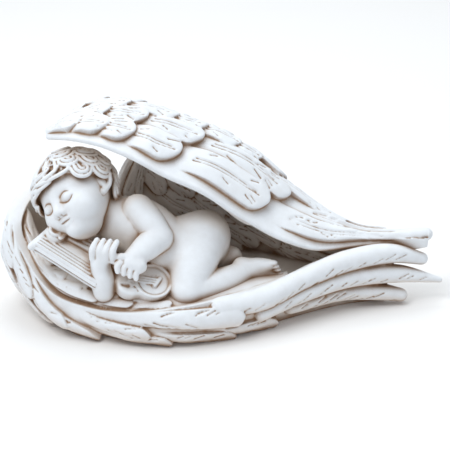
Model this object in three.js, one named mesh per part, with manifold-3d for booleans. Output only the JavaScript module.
// A cast-stone garden ornament: a putto asleep on a small lyre, cradled between two folded wings.
// Millimetres, +Z up. The origin is on the ground, at the middle of the footprint's box.
// +X runs from the head to the wing tips, and the open front faces -Y.
import * as THREE from "three";
import { mergeVertices } from "three/addons/utils/BufferGeometryUtils.js";
import Module from "manifold-3d";

// Wing shells and the bed between them
const EDGE_THICKNESS = 4;
const CREST_THICKNESS = 8;
const WALL_THICKNESS = 9;
const WALL_END_THICKNESS = 3.5;
const RIM_THICKNESS = 6;
const BED_HEIGHT = 20;
const GROUND_CUT_DEPTH = 60;

// Feathers: how far a tip stands proud, how deep the row is sunk, and where along one its outline turns
const FEATHER_LIFT = 4;
const FEATHER_SINK = 2.4;
const FEATHER_STATIONS = [0.03, 0.66, 1];
const FEATHER_FULL = 0.6;
const FEATHER_ROOT_WIDTH = 0.85;
const FEATHER_SHOULDER = 0.15;

// The upper wing's cross-sections, each from its front edge over the crest to the heel behind
const CANOPY_SECTIONS = [
  { edge: [-117, 4, 124.5], crest: [-117.5, 12, 127], heel: [-117, 20, 125] },
  { edge: [-100, -9, 125.5], crest: [-98, 20, 135], heel: [-96, 40, 128] },
  { edge: [-80, -14, 121.5], crest: [-78, 27, 137], heel: [-75, 50, 125] },
  { edge: [-60, -16, 115.5], crest: [-58, 30, 134], heel: [-60, 57, 113] },
  { edge: [-38, -16, 104.5], crest: [-34, 32, 125], heel: [-38, 60, 96] },
  { edge: [-14, -15, 94.5], crest: [-10, 32, 115.5], heel: [-10, 59, 84] },
  { edge: [12, -13, 75], crest: [14, 30, 102.5], heel: [16, 54, 70] },
  { edge: [43, -11, 56], crest: [45, 26, 75.5], heel: [46, 43, 52] },
  { edge: [66, -5, 47], crest: [70, 21, 59.5], heel: [70, 32, 40] },
  { edge: [92, 4, 45], crest: [93, 17, 51], heel: [93, 24, 36] },
  { edge: [115, 8, 44], crest: [115, 14, 51], heel: [115, 18, 36] },
  { edge: [138, 10, 47], crest: [140, 12, 52.5], heel: [140, 14, 42] },
];
const CANOPY_ROWS = [
  { v: 0.17, half: 0.15, tips: [0.1, 0.17, 0.225, 0.34, 0.57, 0.955] },
  { v: 0.42, half: 0.1, tips: [0.16, 0.26, 0.395, 0.63, 0.99] },
  { v: 0.64, half: 0.11, tips: [0.21, 0.285, 0.41, 0.56, 0.85] },
];
const CANOPY_LINING_ROWS = [{ v: 0.4, half: 0.15, from: 0.28, tips: [0.36, 0.46, 0.58] }];

// The wall behind the figure, which carries the upper wing, from its top to the ground
const WALL_SECTIONS = [
  { top: [-56, 44, 112], waist: [-77, 44, 74], foot: [-92, 46, 0] },
  { top: [-46, 57, 104], waist: [-55, 60, 60], foot: [-62, 57, 0] },
  { top: [-24, 59, 90], waist: [-26, 62, 48], foot: [-30, 59, 0] },
  { top: [4, 56, 76], waist: [4, 57, 40], foot: [4, 55, 0] },
  { top: [30, 48, 60], waist: [30, 48, 32], foot: [30, 47, 0] },
  { top: [58, 37, 45], waist: [58, 37, 24], foot: [58, 36, 0] },
  { top: [85, 26, 38], waist: [85, 26, 20], foot: [85, 25, 0] },
  { top: [114, 17, 36], waist: [114, 17, 18], foot: [112, 16, 2] },
];
const WALL_ROWS = [{ v: 0.4, half: 0.24, from: 0.08, tips: [0.3, 0.52, 0.78] }];

// The lower wing's cross-sections, each from the ground up its bulging outside to the rim
const LOWER_SECTIONS = [
  { ground: [-90, 47, 0], bulge: [-98, 52, 30], rim: [-94, 48, 58] },
  { ground: [-112, 36, 10], bulge: [-127, 37, 40], rim: [-122, 31, 65] },
  { ground: [-126, 14, 22], bulge: [-145, 14, 45], rim: [-137, 12, 72] },
  { ground: [-119, -6, 8], bulge: [-147, -2, 38], rim: [-142, -5, 64] },
  { ground: [-104, -22, 1], bulge: [-133, -20, 19], rim: [-133, -22, 45] },
  { ground: [-93, -35, 0], bulge: [-115, -38, 12], rim: [-116, -36, 30] },
  { ground: [-76, -45, 0], bulge: [-88, -50, 10], rim: [-92, -46, 24] },
  { ground: [-50, -52, 0], bulge: [-58, -57, 11], rim: [-64, -53, 24] },
  { ground: [-25, -51, 0], bulge: [-29, -58, 13], rim: [-32, -54, 28] },
  { ground: [12, -39, 0], bulge: [7, -48, 15], rim: [4, -44, 31] },
  { ground: [45, -20, 1], bulge: [44, -27, 18], rim: [43, -25, 34] },
  { ground: [66, -9, 2], bulge: [66, -14, 20], rim: [64, -12, 38] },
  { ground: [88, 0, 3], bulge: [88, -4, 22], rim: [87, -3, 40] },
  { ground: [112, 4, 3], bulge: [113, 2, 22], rim: [114, 5, 40] },
];
const LOWER_ROWS = [
  { v: 0.8, half: 0.18, from: 0.06, tips: [0.2, 0.29, 0.36, 0.44, 0.53, 0.7] },
  { v: 0.34, half: 0.22, from: 0.04, tips: [0.14, 0.25, 0.35, 0.45, 0.58, 0.77] },
];
const LOWER_LINING_ROWS = [{ v: 0.84, half: 0.15, from: 0.16, tips: [0.25, 0.34, 0.43, 0.53] }];
// Its three long primaries, in points of [x, y, z, radius]
const PRIMARIES = [
  [[-4, -47, 24, 7], [24, -37, 25, 8], [51, -22, 31, 7], [84, -6, 37, 7.4], [117, 4, 37, 6.2], [137, 8, 30.5, 3]],
  [[24, -39, 14.5, 5], [51, -24, 20.5, 5.8], [84, -8, 24.3, 6.6], [119, 2, 23, 6.2], [149, 6, 18, 1.8]],
  [[44, -24, 10.5, 4.5], [84, -7, 12.5, 5.4], [108, -1, 10.4, 6], [121, 1, 7.5, 4.8]],
];

// The sleeping figure, in body points of [x, y, z, radius]
const LIMB_SIDES = 8;
const TORSO = [[-72, -3, 64, 17], [-60, -3, 61, 21], [-39, -7, 49, 20.5], [-18, 2, 47, 20]];
const NECK = [[-90, -3, 78, 11], [-70, -3, 68, 13]];
const LEFT_UPPER_ARM = [[-58, -8, 76, 11], [-44, -22, 63, 9.5]];
const LEFT_FOREARM = [[-44, -22, 63, 9.5], [-52, -31, 60, 8.5], [-60, -38, 56, 6.4]];
const RIGHT_FOREARM = [[-79, -42, 29, 7.2], [-80, -41, 40, 7.4], [-81.5, -40, 53, 6]];
const LEFT_THIGH = [[-17, -4, 52, 18], [-21, -20, 43, 15.5], [-25, -34, 31, 11.5]];
const LEFT_SHIN = [[-25, -34, 31, 11.5], [-4, -25, 30.5, 9], [14, -14, 34, 6.2]];
const RIGHT_SHIN = [[-12, 4, 32, 12], [4, 2, 35, 8]];
const LEFT_FOOT = [[14, -14, 34, 6], [23, -12.5, 34.5, 6.2], [30, -10.5, 33.5, 4.8]];
const TOES = { first: [30, -12.5, 37.5], step: [1.6, 0.6, -2.2], count: 5, radius: 2.4 };
const BED_MOUNDS = [
  { at: [-95, 8, 18], radii: [30, 30, 34] },
  { at: [-48, 8, 18], radii: [52, 36, 27] },
];

// Fingers: the stops of the first one, and the step from one finger to the next
const FINGER_RADIUS = 2.4;
const LEFT_FINGERS = {
  stops: [[-66, -42, 56.5], [-70, -46, 55], [-69.5, -47.5, 52]],
  step: [4.4, 0, -1.9],
  count: 4,
};
const LEFT_THUMB = [[-63, -41, 58, 2.8], [-72, -42.5, 59, 2.2]];
const LEFT_PALM = [[-60, -38, 56, 6.4], [-60, -42, 53, 6.6]];
const RIGHT_FINGERS = {
  stops: [[-85.5, -42, 58], [-85.5, -42.5, 65], [-83, -37, 69]],
  step: [4.3, -0.3, -0.3],
  count: 4,
};
const RIGHT_PALM = [[-81, -40, 54, 6], [-79, -39, 62, 7]];

// The head's own frame: right, face and up directions from its centre
const HEAD = { at: [-102, -5, 86], face: [-0.55, -0.8, 0.24], up: [-0.45, 0.52, 0.69] };
const SKULL = { at: [0, -3, 4], radii: [24, 25.5, 24] };
const JAW = { at: [0, 4.5, -9.5], radii: [20, 18, 18] };
const CHIN = { at: [0, 16.5, -22], radii: [6, 5.5, 5] };
const EYELID = { at: [9, 17.9, -3], radii: [5.2, 3.4, 3.2] };
const NOSE = [[0, 20.5, -2, 1.8], [0, 24.5, -9.5, 2.8]];
const LIPS = [
  [[-5, 19.5, -16, 1], [0, 22, -15, 1.8], [5, 19.5, -16, 1]],
  [[-4, 19.5, -17.5, 1], [0, 21.5, -18.6, 2], [4, 19.5, -17.5, 1]],
];
const EAR = [[-22, -2, 2, 2.2], [-25, -6, 1, 2.2], [-25, -6.5, -5, 2.2], [-21.5, -2, -8, 2.6]];

// Locks of hair: rings of curls about a crown that leans back
const CROWN_LEAN = 0.36;
const LOCK_REACH = 13;
const LOCK_RINGS = [
  { polar: 18, count: 3, radius: 5 },
  { polar: 48, count: 5, radius: 5.4 },
  { polar: 76, count: 8, radius: 5 },
];

// The lyre's own frame: along its strings, across them and up off its face
const LYRE = { at: [-80, -33, 47], along: [0.846, -0.303, -0.439], across: [0.383, 0.861, 0.335] };
const LYRE_BOARD = { size: [62, 25, 6], at: [-16, -1, 0] };
const LYRE_BODY = { radius: 15.5, depth: 10, at: [31, 3, 1] };
const LYRE_BAR = [[-46, -14, 0, 3.4], [-46, 13, 0, 3.4]];
const LYRE_ARM = [[-34, 10, 4, 3.8], [-8, 12, 4, 3.8], [20, 13, 3, 3.8]];
const LYRE_SCROLL = { at: [-36, 7, 6], radius: 4.6, tube: 2.8 };
const LYRE_BRIDGE = [[36, -3, 6, 1.8], [36, 7, 6, 1.8]];
const STRINGS = { count: 4, from: -46, to: 14, first: -11.5, pitch: 3.2, height: 3.2, radius: 1.3 };

const wasm = await Module();
wasm.setup();

const { clamp, lerp, smoothstep, degToRad } = THREE.MathUtils;
const vec = (p) => new THREE.Vector3(p[0], p[1], p[2]);
const steps = (from, to, count) => Array.from({ length: count + 1 }, (_, i) => from + ((to - from) * i) / count);

// A closed geometry as a solid that can be joined and cut.
function solid(geometry) {
  geometry.deleteAttribute("normal");
  geometry.deleteAttribute("uv");
  const merged = mergeVertices(geometry, 1e-4);
  return new wasm.Manifold(
    new wasm.Mesh({
      numProp: 3,
      vertProperties: merged.attributes.position.array,
      triVerts: new Uint32Array(merged.index.array),
    }),
  );
}

// The closed solid between two grids of points that share their size.
function gridSolid(outer, inner) {
  const rows = outer.length;
  const columns = outer[0].length;
  const index = [];
  const top = (i, j) => i * columns + j;
  const low = (i, j) => rows * columns + top(i, j);
  const quad = (a, b, c, d) => index.push(a, b, c, a, c, d);
  for (let i = 0; i < rows - 1; i++) {
    const end = columns - 1;
    for (let j = 0; j < end; j++) {
      quad(top(i, j), top(i + 1, j), top(i + 1, j + 1), top(i, j + 1));
      quad(low(i, j), low(i, j + 1), low(i + 1, j + 1), low(i + 1, j));
    }
    quad(top(i, 0), low(i, 0), low(i + 1, 0), top(i + 1, 0));
    quad(top(i, end), top(i + 1, end), low(i + 1, end), low(i, end));
  }
  for (let j = 0; j < columns - 1; j++) {
    const end = rows - 1;
    quad(top(0, j), top(0, j + 1), low(0, j + 1), low(0, j));
    quad(top(end, j), low(end, j), low(end, j + 1), top(end, j + 1));
  }
  const points = [...outer.flat(), ...inner.flat()];
  return solid(new THREE.BufferGeometry().setFromPoints(points).setIndex(index));
}

// A tube through [x, y, z, radius] stops, placed by a frame, with round ends or plain pointed ones.
function limb(stops, { place = vec, sides = LIMB_SIDES, round = true } = {}) {
  const curve = new THREE.CatmullRomCurve3(stops.map(place), false, "centripetal");
  const spans = stops.length - 1;
  const stations = stops.map((stop, i) => ({
    at: curve.getPoint(i / spans),
    tangent: curve.getTangent(i / spans),
    radius: stop[3],
  }));
  const cap = ({ at, tangent, radius }, turn) => {
    const angle = (turn * Math.PI) / 4;
    const moved = at.clone().addScaledVector(tangent, radius * Math.sin(angle));
    return { at: moved, tangent, radius: radius * Math.cos(angle) };
  };
  const [first, last] = [stations[0], stations.at(-1)];
  const rings = round ? [cap(first, -1), ...stations, cap(last, 1)] : stations;
  const across = new THREE.Vector3(0.31, 0.87, 0.39);
  const points = rings.flatMap(({ at, tangent, radius }) => {
    across.addScaledVector(tangent, -across.dot(tangent)).normalize();
    const over = new THREE.Vector3().crossVectors(tangent, across);
    const corner = (a) =>
      at.clone().addScaledVector(across, radius * Math.cos(a)).addScaledVector(over, radius * Math.sin(a));
    return steps(0, 2 * Math.PI, sides).slice(0, sides).map(corner);
  });
  points.push(first.at.clone().addScaledVector(first.tangent, -first.radius));
  points.push(last.at.clone().addScaledVector(last.tangent, last.radius));
  const index = [];
  const end = (rings.length - 1) * sides;
  for (let j = 0; j < sides; j++) {
    const next = (j + 1) % sides;
    for (let i = 0; i < end; i += sides) {
      index.push(i + j, i + next, i + sides + next);
      index.push(i + j, i + sides + next, i + sides + j);
    }
    index.push(points.length - 2, next, j);
    index.push(points.length - 1, end + j, end + next);
  }
  return solid(new THREE.BufferGeometry().setFromPoints(points).setIndex(index));
}

// A frame as a matrix, and as a function that places its own points in the object.
function frame(at, x, y) {
  const axisX = vec(x).normalize();
  const axisY = vec(y).addScaledVector(axisX, -vec(y).dot(axisX)).normalize();
  const axisZ = new THREE.Vector3().crossVectors(axisX, axisY);
  const matrix = new THREE.Matrix4().makeBasis(axisX, axisY, axisZ).setPosition(vec(at));
  return { matrix, place: (p) => vec(p).applyMatrix4(matrix) };
}

const WORLD = new THREE.Matrix4();

function ball({ at, radii }, matrix = WORLD, around = 12, down = 8) {
  const sphere = new THREE.SphereGeometry(1, around, down);
  sphere.scale(...radii).translate(...at).applyMatrix4(matrix);
  return solid(sphere);
}

// A surface through sections that share their guides' names, each guide a line along the wing.
// It gives the point at a depth under the surface, or above it where the depth is negative.
function wingSurface(sections) {
  const guides = Object.keys(sections[0]);
  const girth = sections.map((s) => vec(s[guides[1]]));
  const knots = [0];
  for (let i = 1; i < girth.length; i++) knots.push(knots[i - 1] + girth[i].distanceTo(girth[i - 1]));
  const values = sections.flatMap((s) => guides.flatMap((g) => s[g]));
  const along = new THREE.CubicInterpolant(knots.map((k) => k / knots.at(-1)), values, guides.length * 3);
  const point = (u, v) => {
    const row = Array.from(along.evaluate(clamp(u, 0, 1)));
    const stops = guides.map((_, i) => vec(row.slice(3 * i)));
    return new THREE.CatmullRomCurve3(stops, false, "catmullrom").getPoint(clamp(v, 0, 1));
  };
  const step = 0.004;
  const normal = (u, v) => {
    const du = point(u + step, v).sub(point(u - step, v));
    const dv = point(u, v + step).sub(point(u, v - step));
    return du.cross(dv).normalize();
  };
  return (u, v, depth) => point(u, v).addScaledVector(normal(u, v), -depth);
}

function wingShell(surface, along, across, thickness) {
  const grid = (depth) =>
    steps(0, 1, along).map((u) => steps(0, 1, across).map((v) => surface(u, v, depth(v, u))));
  return gridSolid(grid(() => 0), grid(thickness));
}

// The width of a feather along its length: a slim root, a full middle and a rounded tip.
function featherWidth(t) {
  if (t < FEATHER_FULL) return lerp(FEATHER_ROOT_WIDTH, 1, t / FEATHER_FULL);
  const round = (t - FEATHER_FULL) / (1 - FEATHER_FULL);
  return Math.sqrt(1 - round * round);
}

// A row of feathers laid on a wing, each one rising to its tip, from where the next sets out.
// It lies over the outside, or under the lining where base gives the shell's depth.
function featherRow(surface, { v, half, from = 0, tips }, base) {
  const side = base ? -1 : 1;
  const stations = tips.flatMap((to, i) =>
    FEATHER_STATIONS.map((t) => ({ t, to, start: i ? tips[i - 1] : from })),
  );
  const grid = (height) =>
    stations.map(({ t, to, start }) =>
      [-1, 0, 1].map((across) => {
        const along = t - FEATHER_SHOULDER * Math.abs(across) * t ** 5;
        const edge = v + across * half * featherWidth(along);
        return surface(lerp(start, to, along), edge, base - side * height(t, across));
      }),
    );
  const crown = (t, across) => FEATHER_LIFT * (0.2 + 0.8 * t) * (1 - 0.55 * across * across);
  const [top, sunk] = [grid(crown), grid(() => -FEATHER_SINK)];
  return base ? gridSolid(sunk, top) : gridSolid(top, sunk);
}

const canopy = wingSurface(CANOPY_SECTIONS);
const wall = wingSurface(WALL_SECTIONS);
const lower = wingSurface(LOWER_SECTIONS);

function wings() {
  const canopyThickness = (v) => lerp(EDGE_THICKNESS, CREST_THICKNESS, smoothstep(v, 0, 0.5));
  const wallThickness = (v, u) => lerp(WALL_END_THICKNESS, WALL_THICKNESS, smoothstep(u, 0, 0.2));
  const rimThickness = () => RIM_THICKNESS;
  return [
    wingShell(canopy, 13, 4, canopyThickness),
    wingShell(wall, 8, 2, wallThickness),
    wingShell(lower, 15, 3, rimThickness),
    ...CANOPY_ROWS.map((row) => featherRow(canopy, row, 0)),
    ...CANOPY_LINING_ROWS.map((row) => featherRow(canopy, row, canopyThickness(row.v))),
    ...WALL_ROWS.map((row) => featherRow(wall, row, 0)),
    ...LOWER_ROWS.map((row) => featherRow(lower, row, 0)),
    ...LOWER_LINING_ROWS.map((row) => featherRow(lower, row, RIM_THICKNESS)),
    ...PRIMARIES.map((stops) => limb(stops, { sides: 7 })),
  ];
}

// The thick floor between the wings, with the mounds that the figure lies on.
function bed() {
  const front = steps(0.3, 1, 8).map((u) => lower(u, 0, 0));
  const behind = steps(0.98, 0.02, 7).map((u) => wall(u, 1, 0));
  const outline = new THREE.Shape([...front, ...behind].map((p) => new THREE.Vector2(p.x, p.y)));
  const floor = new THREE.ExtrudeGeometry(outline, { depth: BED_HEIGHT, bevelEnabled: false });
  return [solid(floor), ...BED_MOUNDS.map((mound) => ball(mound, WORLD, 9, 6))];
}

// A run of equal fingers, side by side.
function fingers({ stops, step, count }) {
  return steps(0, count - 1, count - 1).map((i) => {
    const shifted = stops.map((p) => [p[0] + i * step[0], p[1] + i * step[1], p[2] + i * step[2], FINGER_RADIUS]);
    return limb(shifted, { sides: 5, round: false });
  });
}

function toes({ first, step, count, radius }) {
  return steps(0, count - 1, count - 1).map((i) => {
    const at = first.map((value, axis) => value + i * step[axis]);
    const size = radius * (1 - 0.08 * i);
    return ball({ at, radii: [size * 1.4, size, size] }, WORLD, 6, 4);
  });
}

function body() {
  const rounded = [
    NECK, LEFT_UPPER_ARM, LEFT_FOREARM, LEFT_PALM, RIGHT_FOREARM, RIGHT_PALM,
    LEFT_THIGH, LEFT_SHIN, RIGHT_SHIN, LEFT_FOOT,
  ];
  return [
    limb(TORSO, { sides: 10 }),
    ...rounded.map((stops) => limb(stops)),
    limb(LEFT_THUMB, { sides: 5, round: false }),
    ...fingers(LEFT_FINGERS),
    ...fingers(RIGHT_FINGERS),
    ...toes(TOES),
  ];
}

const headRight = new THREE.Vector3().crossVectors(vec(HEAD.face), vec(HEAD.up)).toArray();
const headFrame = frame(HEAD.at, headRight, HEAD.face);

// The point on the skull at a polar angle from the leaning crown and a turn about it, both in degrees.
function onSkull(polar, turn, lift) {
  const [p, s] = [degToRad(polar), degToRad(turn)];
  const way = new THREE.Vector3(Math.sin(p) * Math.sin(s), -Math.sin(p) * Math.cos(s), Math.cos(p));
  way.applyAxisAngle(new THREE.Vector3(1, 0, 0), CROWN_LEAN);
  return SKULL.at.map((centre, axis) => centre + way.getComponent(axis) * (SKULL.radii[axis] + lift));
}

// A lock that starts near the crown and curls round on itself at its end.
function lock(polar, turn, radius) {
  const width = LOCK_REACH / Math.max(Math.sin(degToRad(polar)), 0.35);
  const stops = [
    [...onSkull(polar - LOCK_REACH, turn, 0), radius * 0.8],
    [...onSkull(polar, turn + width * 0.8, 1), radius],
    [...onSkull(polar + LOCK_REACH * 0.6, turn - width * 0.1, 1.5), radius * 0.75],
  ];
  return limb(stops, { place: headFrame.place, sides: 5, round: false });
}

function hair() {
  return LOCK_RINGS.flatMap(({ polar, count, radius }) =>
    steps(0, 360, count).slice(0, count).map((turn) => lock(polar, turn, radius)),
  );
}

function head() {
  const mirrored = ({ at, radii }) => [-1, 1].map((side) => ({ at: [side * at[0], at[1], at[2]], radii }));
  const large = [SKULL, JAW];
  const small = [CHIN, ...mirrored(EYELID)];
  return [
    ...large.map((form) => ball(form, headFrame.matrix, 11, 7)),
    ...small.map((form) => ball(form, headFrame.matrix, 6, 5)),
    ...[NOSE, ...LIPS, EAR].map((stops) => limb(stops, { place: headFrame.place, sides: 5, round: false })),
    ...hair(),
  ];
}

const lyreFrame = frame(LYRE.at, LYRE.along, LYRE.across);

// A ring lying on the lyre's face, as its carved scrolls are.
function scroll({ at, radius, tube }) {
  const ring = new THREE.TorusGeometry(radius, tube, 5, 8);
  return solid(ring.translate(...at).applyMatrix4(lyreFrame.matrix));
}

function lyre() {
  const place = lyreFrame.place;
  const board = new THREE.BoxGeometry(...LYRE_BOARD.size);
  board.translate(...LYRE_BOARD.at).applyMatrix4(lyreFrame.matrix);
  const sound = new THREE.CylinderGeometry(LYRE_BODY.radius, LYRE_BODY.radius, LYRE_BODY.depth, 16);
  sound.rotateX(Math.PI / 2).translate(...LYRE_BODY.at).applyMatrix4(lyreFrame.matrix);
  const strings = steps(0, STRINGS.count - 1, STRINGS.count - 1).map((i) => {
    const across = STRINGS.first + i * STRINGS.pitch;
    const ends = [STRINGS.from, STRINGS.to].map((along) => [along, across, STRINGS.height, STRINGS.radius]);
    return limb(ends, { place, sides: 4, round: false });
  });
  return [
    solid(board),
    solid(sound),
    scroll(LYRE_SCROLL),
    ...[LYRE_BAR, LYRE_ARM, LYRE_BRIDGE].map((stops) => limb(stops, { place, sides: 6 })),
    ...strings,
  ];
}

// Everything is cast as one, and cut flat where it stands on the ground.
function cast(pieces) {
  const whole = wasm.Manifold.union(pieces);
  const { min, max } = whole.boundingBox();
  const [width, depth] = [2 * (max[0] - min[0]), 2 * (max[1] - min[1])];
  const ground = new THREE.BoxGeometry(width, depth, GROUND_CUT_DEPTH).translate(0, 0, -GROUND_CUT_DEPTH / 2);
  const bodies = whole.subtract(solid(ground)).decompose();
  return bodies.reduce((a, b) => (a.volume() > b.volume() ? a : b)).getMesh();
}

const carved = cast([...wings(), ...bed(), ...body(), ...head(), ...lyre()]);
const geometry = new THREE.BufferGeometry();
geometry.setAttribute("position", new THREE.BufferAttribute(carved.vertProperties, 3));
geometry.setIndex(new THREE.BufferAttribute(carved.triVerts, 1));
geometry.computeBoundingBox();

const stone = new THREE.MeshStandardMaterial({ color: 0xe4e0da, roughness: 0.8, metalness: 0 });
const statue = new THREE.Mesh(geometry, stone);
statue.name = "statue";
const middle = geometry.boundingBox.getCenter(new THREE.Vector3());
statue.position.set(-middle.x, -middle.y, 0);

const ornament = new THREE.Group();
ornament.add(statue);
export default ornament;
